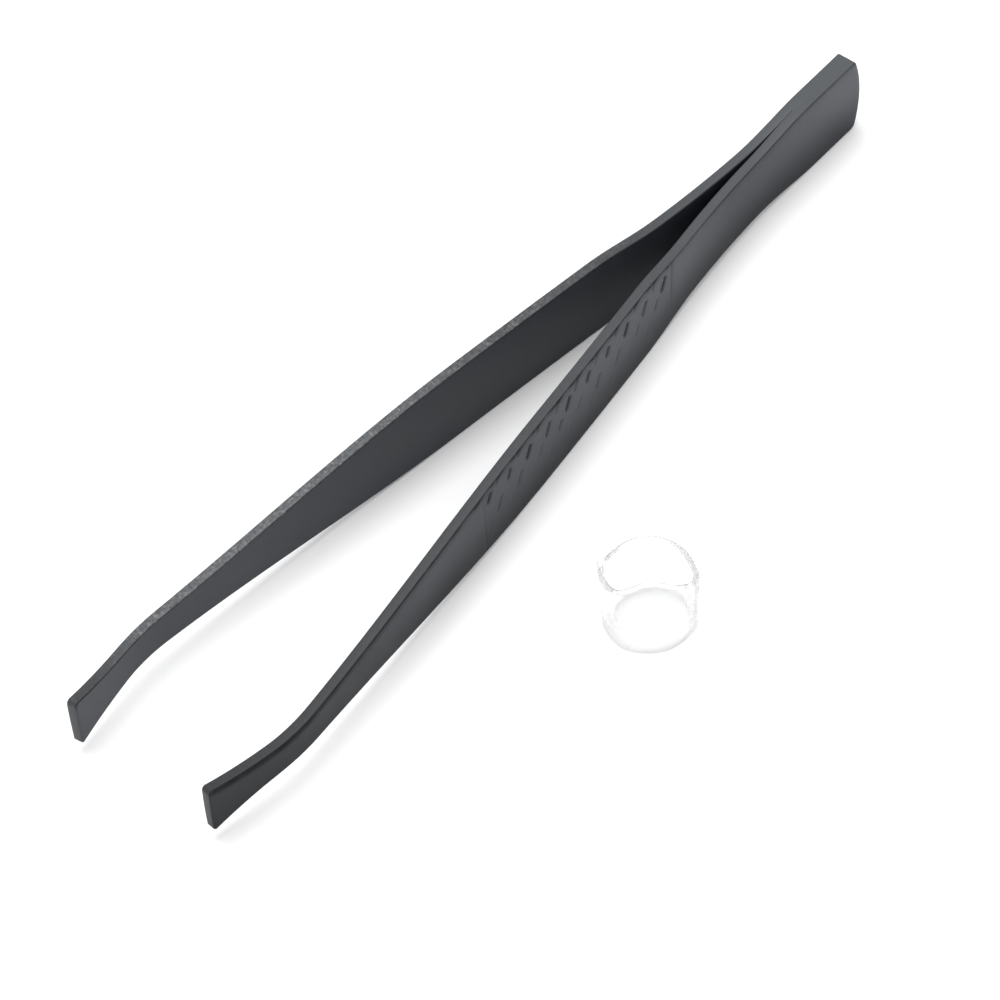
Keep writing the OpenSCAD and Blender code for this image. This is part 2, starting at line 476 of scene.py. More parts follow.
@dataclass(frozen=True)
class PaintedShadingAndBareGrain:
    """Painted light and shade on the black coat from place to place, as a share of its lightest, and the bare grain of
    its edges.

    A pair gives where a smooth step starts and ends: along the strip, or back from its tip where it is negative, and
    for low_over in heights that run from -1 at the low edge to 1 at the top one.
    """

    # Painted shade: the coat's tone at the butt, and how it falls along the strip, at the waist, towards the low edge
    # and near the tip.
    at_butt: float = 0.82
    lost_by_tip: float = 0.4
    waist_at: float = 18.5
    waist_half: float = 7.5
    waist_loss: float = 0.18
    low_share: float = 0.42
    low_over: tuple[float, float] = (-1.05, 0.45)
    tip_over: tuple[float, float] = (70.0, 82.0)
    tip_loss: float = 0.15
    tip_low_share: float = 0.84
    # Painted shade of the inner face.
    inner: float = 0.58
    # Painted shade along the inner face's top edge.
    inner_line_shade: float = 0.6
    # Painted light and shade of the sheared edges along the strip.
    edge_at_butt: float = 0.82
    left_edge_loss: float = 0.42
    right_gain: float = 0.2
    right_gain_over: tuple[float, float] = (42.0, 70.0)
    right_dip: float = 0.2
    right_dip_at: float = 31.0
    right_dip_half: float = 12.0
    right_tip_loss: float = 0.5
    right_tip_over: tuple[float, float] = (-14.0, -2.0)
    left_bare: float = 0.12
    left_bare_over: tuple[float, float] = (14.0, 20.0)
    right_bare_over: tuple[float, float] = (16.0, 50.0)
    tip_bare_loss: float = 0.7
    tip_bare_over: tuple[float, float] = (-12.0, -4.0)

    def bare(self, s: np.ndarray, length: float, side: Side) -> np.ndarray:
        """How much bare broken grain, with painted glints, the sheared edge shows: plenty on the right arm, hardly any
        on the left one.

        Args:
            s: Distances along the strip from the butt's end.
            length: The strip's whole length.
            side: Which strip it is.

        Returns:
            Share of bare grain and painted glints at each place.
        """
        if side is Side.LEFT:
            return self.left_bare * ramp(s, *self.left_bare_over)
        return ramp(s, *self.right_bare_over) * (1.0 - self.tip_bare_loss * ramp(s - length, *self.tip_bare_over))

    def outer(self, s: np.ndarray, height: np.ndarray, length: float) -> np.ndarray:
        """Painted shade of the outer face, where height runs from -1 at the low edge to 1 at the top one.

        It falls evenly from the butt to the tip, with a bell-shaped loss at the waist, and from just above mid-height
        down to the low edge it falls by a smooth step. Near the tip it falls once more and that step fades.

        Args:
            s: Distances along the strip from the butt's end.
            height: Heights as shares of half the strip's.
            length: The strip's whole length.

        Returns:
            Painted shade at each place.
        """
        tip = ramp(s, *self.tip_over)
        waist = self.waist_loss * bell((s - self.waist_at) / self.waist_half)
        along = self.at_butt - self.lost_by_tip * s / length - waist - self.tip_loss * tip
        low = self.low_share + (self.tip_low_share - self.low_share) * tip
        return along * (low + (1.0 - low) * ramp(height, *self.low_over))

    def edge(self, s: np.ndarray, length: float, side: Side) -> np.ndarray:
        """Painted light and shade of the sheared edge: the left one darkens towards the tip, the right one dips, gains
        and drops.

        Args:
            s: Distances along the strip from the butt's end.
            length: The strip's whole length.
            side: Which strip it is.

        Returns:
            Painted light and shade at each place.
        """
        if side is Side.LEFT:
            return self.edge_at_butt - self.left_edge_loss * s / length
        gain = self.right_gain * ramp(s, *self.right_gain_over)
        dip = self.right_dip * bell((s - self.right_dip_at) / self.right_dip_half)
        return self.edge_at_butt + gain - dip - self.right_tip_loss * ramp(s - length, *self.right_tip_over)


@dataclass
class Strip:
    """One steel strip, butt plate and arm in one piece, which bends at its root.

    The surface is a face grid on each side and a band round the edge. A row of the band is the side outline drawn in
    by a distance, at an offset from the middle surface; from row to row these two follow the strip's edge in section:
    a quarter round, the flat sheared edge and a quarter round. The face grids fill the band's innermost rows: their
    points lie between the low and top edge in proportion, and near an end the difference between that end's curve
    and the proportion is added, fading inwards.
    """

    side: Side
    line: CentreLine = field(default_factory=CentreLine)
    outline: SideOutline = field(default_factory=SideOutline)
    stamp: GripStamp = field(default_factory=GripStamp)
    burr: EdgeBurr = field(default_factory=EdgeBurr)
    # Painted light and shade of the coat, and where its edges show bare grain.
    coat: PaintedShadingAndBareGrain = field(default_factory=PaintedShadingAndBareGrain)
    thickness: float = 1.0
    mid_z: float = 4.25
    tip_trim: float = 0.08
    coarse_step: float = 0.4
    fine_step: float = 0.125
    fine_from: float = 29.4
    fine_to: float = 63.4
    tip_step: float = 0.3
    rows: int = 76
    row_crowding: float = 0.22
    end_fade: float = 5.0
    corner_turns: tuple[float, ...] = (60.0, 30.0, 0.0)
    outer_top_round: float = 0.05
    outer_low_round: float = 0.2
    inner_round: float = 0.12
    seam_round: float = 0.03
    seam_over: tuple[float, float] = (10.0, 14.0)
    top_edge_over: tuple[float, float] = (0.6, 0.9)
    inner_line_shade_over: tuple[float, float] = (0.95, 0.99)
    flex_from: float = 9.0
    flex_to: float = 31.0
    left_phase: float = 0.7
    right_phase: float = 2.9

    @property
    def phase(self) -> float:
        """Sets off the unevenness of one strip from the other's."""
        return self.left_phase if self.side is Side.LEFT else self.right_phase

    def stations(self) -> np.ndarray:
        """Distances along the strip of the grid's columns, closer together where the face is stamped.

        Returns:
            Distance of each column from the butt's end.
        """
        end = self.line.length - self.tip_trim
        parts = (
            (0.0, self.fine_from, self.coarse_step),
            (self.fine_from, self.fine_to, self.fine_step),
            (self.fine_to, end, self.tip_step),
        )
        runs = [np.linspace(a, b, math.ceil((b - a) / step), endpoint=False) for a, b, step in parts]
        return np.concatenate([*runs, [end]])

    def row_shares(self) -> np.ndarray:
        """Shares of the height at which the grid has its rows, closer together near the two edges."""
        even = np.linspace(-1.0, 1.0, self.rows)
        return (even + self.row_crowding * np.sin(math.pi * even) / math.pi + 1.0) / 2.0

    def half_at(self, s: np.ndarray) -> np.ndarray:
        """Half the strip's height at a distance along it."""
        return self.outline.half(self.line.pose(s)[0])

    def edge_ring(self, cols: np.ndarray) -> tuple[np.ndarray, np.ndarray]:
        """The side outline as one closed run of points: low edge forwards, tip end up, top edge back, butt end down.

        Args:
            cols: Distances along the strip of the grid's columns.

        Returns:
            Distance along the strip and height of each point.
        """
        end, shape, count = cols[-1], self.outline, self.rows
        tip_half = float(self.half_at(np.array([end - shape.tip_low_r]))[0])
        butt_in, butt_v = shape.butt_end(count)
        tip_in, tip_v = shape.end_curve(tip_half, shape.tip_bulge_r, 0.0, shape.tip_low_r, shape.tip_top_r, count)
        butt_fade = 1.0 - eased(cols / self.end_fade)
        tip_fade = 1.0 - eased((end - cols) / self.end_fade)
        low_s = cols + butt_in[0] * butt_fade - tip_in[0] * tip_fade
        top_s = cols + butt_in[-1] * butt_fade - tip_in[-1] * tip_fade
        low_v, top_v = -self.half_at(low_s), self.half_at(top_s)
        ring_s = np.concatenate([low_s[:-1], (end - tip_in)[:-1], top_s[:0:-1], butt_in[:0:-1]])
        ring_v = np.concatenate([low_v[:-1], tip_v[:-1], top_v[:0:-1], butt_v[:0:-1]])
        return ring_s, ring_v

    def drawn_in(self, ring: tuple[np.ndarray, np.ndarray], inset: np.ndarray) -> tuple[np.ndarray, np.ndarray]:
        """The ring moved inwards by a distance, square to the line through each point's two neighbours.

        Args:
            ring: Distances along the strip and heights of a closed run of points.
            inset: How far in each point moves.

        Returns:
            Distance along the strip and height of each moved point.
        """
        s, v = ring
        ts, tv = np.roll(s, -1) - np.roll(s, 1), np.roll(v, -1) - np.roll(v, 1)
        size = np.hypot(ts, tv)
        return s - inset * tv / size, v + inset * ts / size

    def fill(self, ring: tuple[np.ndarray, np.ndarray], cols: int) -> tuple[np.ndarray, np.ndarray]:
        """The face grid inside a ring, as rows by columns of distances and heights.

        Args:
            ring: Distances along the strip and heights of a closed run of points.
            cols: Number of the grid's columns.

        Returns:
            Distance along the strip and height of each of the grid's points.
        """
        rows, sides = self.rows, []
        for run in ring:
            low, tip = run[:cols], run[cols - 1 : cols + rows - 1]
            top = run[cols + rows - 2 : 2 * cols + rows - 2][::-1]
            butt = np.append(run[2 * cols + rows - 3 :], run[0])[::-1]
            sides.append((low, tip, top, butt))
        share = self.row_shares()[:, None]
        s_low = sides[0][0]
        butt_fade = 1.0 - eased((s_low - s_low[0]) / self.end_fade)
        tip_fade = 1.0 - eased((s_low[-1] - s_low) / self.end_fade)
        out = []
        for low, tip, top, butt in sides:
            plain = low * (1.0 - share) + top * share
            by_butt = (butt[:, None] - plain[:, :1]) * butt_fade
            by_tip = (tip[:, None] - plain[:, -1:]) * tip_fade
            out.append(plain + by_butt + by_tip)
        return out[0], out[1]

    def place(self, s: np.ndarray, v: np.ndarray, n: np.ndarray) -> np.ndarray:
        """Points in the part's frame: along the centre line, up by the height and out along the normal.

        Args:
            s: Distances along the strip from the butt's end.
            v: Heights from the strip's mid-height.
            n: Offsets from the middle surface, positive outwards.

        Returns:
            X, Y and Z of each point, along the last axis.
        """
        x, y, heading = self.line.pose(s)
        return np.stack(
            [
                x - n * np.sin(heading) - self.line.foot_at,
                (y + n * np.cos(heading)) * self.side.value,
                np.broadcast_to(self.mid_z + v, x.shape),
            ],
            axis=-1,
        )

    def rounding(self, ring: tuple[np.ndarray, np.ndarray]) -> tuple[np.ndarray, np.ndarray]:
        """Radius of the edge's outer and inner corner at each point of the ring.

        The outer corner is crisp along the top edge and rounder along the low one. The inner corner is nearly square
        where the two strips lie together.

        Args:
            ring: Distances along the strip and heights of a closed run of points.

        Returns:
            Radius of the outer and of the inner corner at each point.
        """
        s, v = ring
        upness = eased((v / self.half_at(s) + 1.0) / 2.0)
        outer = self.outer_low_round + (self.outer_top_round - self.outer_low_round) * upness
        inner = self.seam_round + (self.inner_round - self.seam_round) * ramp(s, *self.seam_over)
        return outer, inner

    def edge_rims(self, outer_round: np.ndarray, inner_round: np.ndarray) -> list[tuple[np.ndarray, np.ndarray]]:
        """Rows of the band round the edge, as (inset, offset): down the outer quarter round and up the inner one.

        At an angle from the edge's own direction, a quarter round lies in by its radius less the radius times the
        angle's cosine, and back from the face by its radius less the radius times the angle's sine.

        Args:
            outer_round: Radius of the outer corner at each point.
            inner_round: That of the inner corner.

        Returns:
            Inset and offset of each row's points.
        """
        half_t, turns = self.thickness / 2.0, np.radians(self.corner_turns)
        down = [(outer_round * (1 - math.cos(a)), half_t - outer_round * (1 - math.sin(a))) for a in turns]
        up = [(inner_round * (1 - math.cos(a)), inner_round * (1 - math.sin(a)) - half_t) for a in turns[::-1]]
        return [*down, (outer_round * 0.0, outer_round * 0.0), *up]

    def outer_relief(self, s: np.ndarray, v: np.ndarray) -> tuple[np.ndarray, np.ndarray, np.ndarray]:
        """How far the outer face stands off its plane, the painted shade of its crease, and the painted shade and
        highlight of its stamping.

        The relief is the lips less the grooves, the border lines and the recess under the burr.

        Args:
            s: Distances along the strip from the butt's end.
            v: Heights from the strip's mid-height.

        Returns:
            Relief, positive outwards, painted shade of the crease and painted shade and highlight of the stamping at
            each place.
        """
        below = self.half_at(s) - v
        share = self.burr.strength(s, self.phase)
        groove, lip = self.stamp.groove_and_lip(s, v)
        border = self.stamp.border(s, v)
        relief = lip - groove - border - self.burr.recess(below, share)
        return relief, self.burr.crease(s, below, share), self.stamp.tone(groove, lip, border)

    def faces(self, cols: int, rims: int) -> tuple[np.ndarray, np.ndarray]:
        """Joins the points: the outer face grid, the inner one, and the band of quads from one's edge to the other's.

        Args:
            cols: Number of columns of a face grid.
            rims: Number of rows of the band between the grids.

        Returns:
            Vertex numbers along the outer grid's edge, and those of each face.
        """
        grid = np.arange(self.rows * cols).reshape(self.rows, cols)
        edge_run = np.concatenate([grid[0, :-1], grid[:-1, -1], grid[-1, :0:-1], grid[:0:-1, 0]])
        size, around = grid.size, len(edge_run)
        runs = [edge_run] + [2 * size + around * k + np.arange(around) for k in range(rims)] + [edge_run + size]
        outer = np.stack([grid[:-1, :-1], grid[:-1, 1:], grid[1:, 1:], grid[1:, :-1]], -1).reshape(-1, 4)
        band = [band_quads(after, before) for before, after in zip(runs[:-1], runs[1:])]
        return edge_run, np.concatenate([outer, (outer + size)[:, ::-1], *band])

    def build(self) -> bpy.types.Object:
        """Builds the strip and paints its masks, on the outer grid, the inner one and the band, in that order.

        Returns:
            The strip.
        """
        cols = self.stations()
        ring = self.edge_ring(cols)
        outer_round, inner_round = self.rounding(ring)
        outer = self.fill(self.drawn_in(ring, outer_round), len(cols))
        inner = self.fill(self.drawn_in(ring, inner_round), len(cols))
        relief, crease, tone = self.outer_relief(*outer)
        relief[0, :] = relief[-1, :] = relief[:, 0] = relief[:, -1] = 0.0
        half_t = self.thickness / 2.0
        points = [self.place(*outer, half_t + relief), self.place(*inner, np.full_like(inner[0], -half_t))]
        rims = self.edge_rims(outer_round, inner_round)
        points += [self.place(*self.drawn_in(ring, inset), offset) for inset, offset in rims]
        edge_run, faces = self.faces(len(cols), len(rims))
        made = make_mesh(
            f"steel_strip_{self.side.name.lower()}", np.concatenate([p.reshape(-1, 3) for p in points]), faces
        )
        at_edge, length = np.divmod(edge_run, len(cols)), self.line.length
        on_top = ramp(ring[1] / self.half_at(ring[0]), *self.top_edge_over)
        bare = np.tile(self.coat.bare(ring[0], length, self.side) * on_top, (len(rims), 1))
        # Painted shade over the outer face, and painted light and shade along the band round the edge.
        outer_shading = self.coat.outer(outer[0], 2.0 * self.row_shares()[:, None] - 1.0, length)
        band_shading = np.tile(self.coat.edge(ring[0], length, self.side), (len(rims), 1))
        band_shading[:2] = outer_shading[at_edge]
        # Painted shade of the crease at the outer edge, and along the inner face's top edge.
        band_edge, band_crease_shade = np.ones_like(bare), np.zeros_like(bare)
        band_edge[0], band_crease_shade[0] = 0.0, crease[at_edge]
        band_crease_shade[-2:] = self.coat.inner_line_shade * on_top
        inner_line_shade = self.coat.inner_line_shade * ramp(inner[1] / self.half_at(inner[0]), *self.inner_line_shade_over)
        plain = np.zeros_like(crease)
        # Coat mask: painted light and shade. Crease mask: painted shade. Stamp mask: painted shade and highlight. Bare
        # mask: grain with painted glints.
        painted = {
            Mask.COAT: (outer_shading, plain + self.coat.inner, band_shading),
            Mask.BARE: (plain, plain, bare),
            Mask.EDGE: (plain, plain, band_edge),
            Mask.CREASE: (crease, inner_line_shade, band_crease_shade),
            Mask.STAMP: (tone, plain + PLAIN_TONE, np.full_like(bare, PLAIN_TONE)),
        }
        for mask, parts in painted.items():
            paint(made, mask, np.concatenate([part.ravel() for part in parts]))
        return made

    def attach(self, made: bpy.types.Object) -> None:
        """Takes the place of the strip's butt plate and arm, with its transform baked in.

        Args:
            made: The built piece.
        """
        name = self.side.name.lower()
        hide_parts(f"{name}_butt_plate", f"{name}_arm")
        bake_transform(made)


# ---------------------------------------------------------------------------------------------- butt weld


@dataclass
class SeamWeld:
    """The weld run round the edge of the butt, dressed nearly flush: a low crowned bead carried along the outline."""

    outline: SideOutline = field(default_factory=SideOutline)
    mid_z: float = 4.25
    foot_at: float = 4.5
    front: float = 8.9
    half_w: float = 0.28
    crown: float = 0.008
    depth: float = 0.34
    ripple: float = 0.003
    ripple_pitch: float = 0.55
    taper: float = 0.7
    around: int = 20
    step: float = 0.08
    side_points: int = 90
    end_points: int = 200
    first_points: int = 40

    def path(self) -> tuple[np.ndarray, np.ndarray, np.ndarray]:
        """The seam from the top edge's front, round the butt's end, to the low edge's front.

        Returns:
            Distance from the butt's end, height, and distance walked, of each point.
        """
        shape = self.outline
        end_s, end_v = shape.butt_end(self.end_points)
        top = np.linspace(self.front, end_s[-1], self.side_points, endpoint=False)
        low = np.linspace(end_s[0], self.front, self.side_points)[1:]
        s = np.concatenate([top, end_s[::-1], low])
        v = np.concatenate([shape.half(top), end_v[::-1], -shape.half(low)])
        walked = np.concatenate([[0.0], np.cumsum(np.hypot(np.diff(s), np.diff(v)))])
        even = np.linspace(0.0, walked[-1], math.ceil(walked[-1] / self.step))
        return np.interp(even, walked, s), np.interp(even, walked, v), even

    def build(self) -> bpy.types.Object:
        """Builds the bead.

        Round the bead's section, at an angle a, a point lies across the seam by the half width times the cosine,
        and out from the strips' edge by the crown times the sine where that is positive, or in by the depth times it
        where it is negative. Both shrink to nothing over the taper at each end, and the crown has small ripples.

        Returns:
            The weld.
        """
        s, v, walked = self.path()
        ts, tv = np.gradient(s), np.gradient(v)
        size = np.hypot(ts, tv)
        out_s, out_v = tv / size, -ts / size
        sign = np.sign(np.median(out_v[: self.first_points]))
        out_s, out_v = out_s * sign, out_v * sign
        length = walked[-1]
        ends = np.sqrt(np.clip(np.minimum(walked, length - walked) / self.taper, 0.0, 1.0))
        ripple = self.ripple * np.sin(2.0 * math.pi * walked / self.ripple_pitch)
        angle = np.linspace(0.0, 2.0 * math.pi, self.around, endpoint=False)
        rise = np.where(np.sin(angle) > 0, (self.crown + ripple[:, None]) * np.sin(angle), self.depth * np.sin(angle))
        rise = rise * ends[:, None]
        across = self.half_w * np.cos(angle)[None, :] * ends[:, None]
        points = np.stack(
            [
                s[:, None] + out_s[:, None] * rise - self.foot_at,
                across,
                self.mid_z + v[:, None] + out_v[:, None] * rise,
            ],
            axis=-1,
        )
        return make_mesh("butt_seam_weld", points.reshape(-1, 3), wrapped_quads(len(s), self.around, False), True)

    def attach(self, made: bpy.types.Object) -> None:
        """The weld rides on the butt, in place of the butt's seam weld.

        Args:
            made: The built piece.
        """
        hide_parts("butt_weld")
        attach(made, "butt")


# ---------------------------------------------------------------------------------------------- retaining ring


@dataclass
class SoftRing:
    """The loose ring: a short cut length of clear soft tube, pressed out of round and dented in at its upper rim."""

    centre: tuple[float, float] = (54.4, 23.25)
    radius: float = 4.12
    wall: float = 0.58
    height: float = 6.95
    cut_round: float = 0.1
    dent_at: float = 46.0
    dent_low_at: float = 60.0
    dent_half: float = 50.0
    dent_top: float = 2.3
    dent_low: float = 0.3
    fold_at: float = -58.0
    fold_half: float = 22.0
    fold: float = 0.35
    shoulder_at: float = 113.0
    shoulder_half: float = 24.0
    shoulder: float = 0.6
    nib_at: float = -68.0
    nib_half: float = 5.0
    nib: float = 0.3
    nib_over: tuple[float, float] = (0.86, 0.98)
    cut_waver: float = 0.06
    low_waver_share: float = 0.5
    waver_waves: tuple[tuple[float, float, float], ...] = ((2.0, 1.0, 0.6), (5.0, 0.5, 0.0))
    around: int = 240
    up_steps: int = 26
    corner_points: int = 4

    def section(self) -> tuple[np.ndarray, np.ndarray]:
        """Section of the wall as a closed run: up the outside, over the rim, down the inside and under.

        Returns:
            Offset from the wall's middle, and share of the height, of each point.
        """
        turn = np.radians(np.linspace(0.0, 90.0, self.corner_points))
        half, r = self.wall / 2.0, self.cut_round
        up = np.linspace(r, self.height - r, self.up_steps)
        across, from_end = half - r + r * np.cos(turn), r - r * np.sin(turn)
        over = np.concatenate([across[1:], -across[::-1][:-1]])
        over_z = np.concatenate([from_end[1:], from_end[::-1][:-1]])
        offset = np.concatenate([np.full_like(up, half), over, np.full_like(up, -half), -over])
        return offset, np.concatenate([up, self.height - over_z, up[::-1], over_z])

    def outer_radius(self, angle: np.ndarray, share: np.ndarray) -> np.ndarray:
        """Outside radius at an angle in degrees and a share of the height.

        A circle, less a flat-bottomed bell for the dent, which is deepest at the top rim and swings round as it
        fades downwards, plus bells for the fold, for the shoulder beside the dent and for the nib of the cut.

        Args:
            angle: Angles round the ring's axis from X, in degrees.
            share: Shares of the ring's height.

        Returns:
            Radius at each place.
        """

        def off(at: np.ndarray | float, half: float) -> np.ndarray:
            """Half widths from a place to the angle, by the shorter way round."""
            return ((angle - at + 180.0) % 360.0 - 180.0) / half

        deep = eased(share)
        at = self.dent_low_at + (self.dent_at - self.dent_low_at) * deep
        dent = (self.dent_low + (self.dent_top - self.dent_low) * deep) * bell(off(at, self.dent_half) ** 2)
        fold = self.fold * bell(off(self.fold_at, self.fold_half))
        shoulder = self.shoulder * deep * bell(off(self.shoulder_at, self.shoulder_half))
        nib = self.nib * bell(off(self.nib_at, self.nib_half)) * ramp(share, *self.nib_over)
        return self.radius - dent + fold + shoulder + nib

    def build(self) -> bpy.types.Object:
        """Builds the ring: the wall's section carried round the dented plan, square to the plan's own direction.

        Returns:
            The ring.
        """
        offset, z = self.section()
        degrees = np.linspace(-180.0, 180.0, self.around, endpoint=False)
        angle, level = np.meshgrid(degrees, z, indexing="ij")
        share = level / self.height
        radius = self.outer_radius(angle, share) - self.wall / 2.0
        turn = np.radians(angle)
        x, y = radius * np.cos(turn), radius * np.sin(turn)
        dx, dy = np.roll(x, -1, 0) - np.roll(x, 1, 0), np.roll(y, -1, 0) - np.roll(y, 1, 0)
        size = np.hypot(dx, dy)
        out = np.broadcast_to(offset[None, :], angle.shape)
        swings = [part * np.sin(count * turn + phase) for count, part, phase in self.waver_waves]
        waver = self.cut_waver * sum(swings) / sum(part for _, part, _ in self.waver_waves)
        top, low = ramp(share, 0.5, 1.0), 1.0 - ramp(share, 0.0, 0.5)
        height = level + (waver - self.cut_waver) * top + self.low_waver_share * (waver + self.cut_waver) * low
        points = np.stack(
            [self.centre[0] + x + out * dy / size, self.centre[1] + y - out * dx / size, height], axis=-1
        )
        made = make_mesh("soft_clear_ring", points.reshape(-1, 3), wrapped_quads(self.around, len(z), True))
        cut = z > self.height - 0.5 * self.cut_round
        paint(made, Mask.CUT, np.tile(cut.astype(float), self.around))
        return made

    def attach(self, made: bpy.types.Object) -> None:
        """The ring rides on its own body, in place of the round ring.

        Args:
            made: The built piece.
        """
        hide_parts("retaining_ring")
        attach(made, "ring")


# ---------------------------------------------------------------------------------------------- finishes


class Graph:
    """A shader node tree with short ways to add, set and join its nodes."""

    def __init__(self, tree: bpy.types.NodeTree) -> None:
        """Works on that tree."""
        self.tree = tree

    def fill(self, node: bpy.types.Node, inputs: dict) -> None:
        """Sets each input of a node, by name or number, to a value or to the socket that feeds it.

        Args:
            node: The node.
            inputs: For each input, its value or the socket that feeds it.
        """
        for key, value in inputs.items():
            if isinstance(value, Socket):
                self.tree.links.new(value, node.inputs[key])
            else:
                node.inputs[key].default_value = value

    def add(self, kind: str, inputs: dict | None = None, **settings: object) -> bpy.types.Node:
        """Adds a node.

        Args:
            kind: Blender's type name of the node, without ShaderNode.
            inputs: For each input, by name or number, its value or the socket that feeds it.
            settings: Properties of the node.

        Returns:
            The node.
        """
        node = self.tree.nodes.new(kind if kind.startswith("Node") else f"ShaderNode{kind}")
        for key, value in settings.items():
            setattr(node, key, value)
        self.fill(node, inputs or {})
        return node

    def place(self) -> Socket:
        """Coordinates of the piece's own object."""
        return self.add("TexCoord").outputs["Object"]

    def mask(self, mask: Mask) -> Socket:
        """Value of a painted mask."""
        return self.add("Attribute", attribute_name=mask.value).outputs["Fac"]

    def group(self, effect: bpy.types.NodeTree, **inputs: float) -> bpy.types.NodeOutputs:
        """Outputs of a shared effect, with some of its inputs set."""
        return self.add("Group", inputs, node_tree=effect).outputs

    def math(self, operation: str, *values: object) -> Socket:
        """Result of a Math node on those values or sockets."""
        return self.add("Math", dict(enumerate(values)), operation=operation).outputs[0]

    def times(self, first: object, *others: object) -> Socket:
        """Product of values or sockets.

        Args:
            first: The first factor.
            others: The other factors.

        Returns:
            The product.
        """
        for other in others:
            first = self.math("MULTIPLY", first, other)
        return first

    def less(self, mask: Socket, loss: float) -> Socket:
        """One, less that share of the mask."""
        return self.math("MULTIPLY_ADD", mask, -loss, 1.0)

    def noise(self, where: Socket, scale: object, detail: float = 2.0, roughness: float = 0.5) -> Socket:
        """Factor of a Noise Texture."""
        inputs = {"Vector": where, "Scale": scale, "Detail": detail, "Roughness": roughness}
        return self.add("TexNoise", inputs).outputs[0]

    def cells(self, where: Socket, scale: object) -> bpy.types.NodeOutputs:
        """Outputs of a Voronoi Texture."""
        return self.add("TexVoronoi", {"Vector": where, "Scale": scale}, feature="F1").outputs

    def spread(self, value: Socket, low: float, high: float, to_low: float = 0.0, to_high: float = 1.0) -> Socket:
        """Value mapped by a smooth step from low..high to to_low..to_high."""
        inputs = {"Value": value, "From Min": low, "From Max": high, "To Min": to_low, "To Max": to_high}
        return self.add("MapRange", inputs, interpolation_type="SMOOTHSTEP").outputs[0]

    def mix(self, share: object, first: object, second: object) -> Socket:
        """Colour between two, each a socket or red, green and blue, by share."""
        ends = [(*colour, 1.0) if isinstance(colour, tuple) else colour for colour in (first, second)]
        return self.add("Mix", {0: share, 6: ends[0], 7: ends[1]}, data_type="RGBA").outputs[2]

    def close(self, outs: dict[str, Socket]) -> bpy.types.NodeTree:
        """Ends a node group with those outputs by name, and gives its tree.

        Args:
            outs: The socket that feeds each output, by the output's name.

        Returns:
            The group's tree.
        """
        for label in outs:
            self.tree.interface.new_socket(name=label, in_out="OUTPUT", socket_type="NodeSocketFloat")
        self.add("NodeGroupOutput", outs)
        return self.tree


def new_group(name: str, **ins: float) -> tuple[Graph, bpy.types.NodeOutputs]:
    """Starts a shader node group with number sockets.

    Args:
        name: Name of the group.
        ins: Default of each input.

    Returns:
        The group's graph, and the sockets of its inputs by name.
    """
    tree = bpy.data.node_groups.new(name, "ShaderNodeTree")
    for label, default in ins.items():
        tree.interface.new_socket(name=label, in_out="INPUT", socket_type="NodeSocketFloat").default_value = default
    graph = Graph(tree)
    return graph, graph.add("NodeGroupInput").outputs


